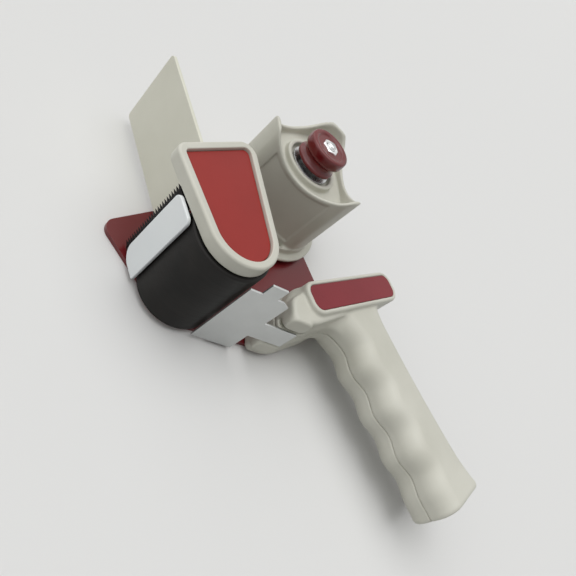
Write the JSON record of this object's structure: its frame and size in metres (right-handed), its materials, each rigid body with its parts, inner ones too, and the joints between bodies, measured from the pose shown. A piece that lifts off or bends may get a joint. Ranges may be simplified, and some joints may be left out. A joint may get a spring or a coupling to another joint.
{
  "type": "carton tape gun",
  "caption": "Hand-held carton sealing tape gun: rubber roller and serrated blade in a two-cheek head, winged tape hub with tension knob, sprung tape flap and pistol grip.",
  "frame": {"origin": "under the middle of the gun's bounding box, on the plane of the far side plate it lies on", "axes": "+X toward the end of the handle, +Y from the roller back toward the tape hub, +Z from the far side plate up to the near cheek, along the roller's and hub's axes"},
  "size_m": [0.274, 0.1615, 0.0705],
  "materials": {
    "red_painted_steel": "semi-gloss enamel",
    "red_gloss_plastic": "gloss moulded",
    "knob_red_plastic": "gloss moulded",
    "cream_abs": "fine satin grain",
    "flap_polypropylene": "satin",
    "white_strip_plastic": "smooth",
    "black_rubber": "ground satin",
    "black_nylon": "moulded",
    "blackened_blade_steel": "oil blackened",
    "zinc_plated_steel": "bright zinc",
    "spring_steel": "drawn wire",
    "grey_felt": "pressed felt"
  },
  "bodies": {
    "frame": {"side_frame": "red_painted_steel", "near_cheek": "cream_abs", "cheek_panel": "red_gloss_plastic", "tie_post": "zinc_plated_steel", "far_screws": "zinc_plated_steel", "near_screws": "zinc_plated_steel", "roller_axle": "zinc_plated_steel", "thrust_washers": "zinc_plated_steel", "front_strip": "white_strip_plastic", "blade": "blackened_blade_steel", "blade_bar": "black_nylon", "blade_screws": "zinc_plated_steel", "flap_pin": "zinc_plated_steel", "base_sheet": "zinc_plated_steel", "base_rivets": "zinc_plated_steel", "handle_near": "cream_abs", "handle_far": "cream_abs", "label_plate": "red_gloss_plastic", "handle_top_screws": "zinc_plated_steel", "handle_grip_screws": "zinc_plated_steel", "hub_stud": "zinc_plated_steel", "hub_washer": "zinc_plated_steel", "brake_felt": "grey_felt", "pressure_washer": "zinc_plated_steel"},
    "roller": {"roller_core": "black_nylon", "roller_sleeve": "black_rubber"},
    "hub": {"hub_drum": "cream_abs", "hub_bush": "black_nylon"},
    "spring_carrier": {"spring_cap": "zinc_plated_steel", "tension_spring": "spring_steel"},
    "knob": {"tension_knob": "knob_red_plastic", "knob_nut": "zinc_plated_steel"},
    "flap": {"flap": "flap_polypropylene", "flap_spring": "spring_steel"}
  },
  "joints": [
    {"name": "roller_spin", "type": "hinge", "parent": "frame", "child": "roller", "pos_m": [-0.02752, -0.05925, 0.0285], "axis": [0, 0, 1], "continuous": true},
    {"name": "hub_spin", "type": "hinge", "parent": "frame", "child": "hub", "pos_m": [-0.06951, 0.03875, 0.0285], "axis": [0, 0, 1], "continuous": true},
    {"name": "knob_feed", "type": "slide", "parent": "frame", "child": "spring_carrier", "axis": [0, 0, -1], "range_m": [0, 0.002], "deforming": ["tension_spring"]},
    {"name": "knob_turn", "type": "hinge", "parent": "spring_carrier", "child": "knob", "pos_m": [-0.06951, 0.03875, 0.062], "axis": [0, 0, -1], "range_deg": [0, 722]},
    {"name": "flap_swing", "type": "hinge", "parent": "frame", "child": "flap", "pos_m": [-0.06252, -0.05075, 0.0285], "axis": [0, 0, -1], "range_deg": [-8, 30], "stiffness_Nm_per_rad": 0.05}
  ],
  "couplings": [
    {"joint": "knob_turn", "follows": "knob_feed", "rad_per_m": 6283.2}
  ]
}
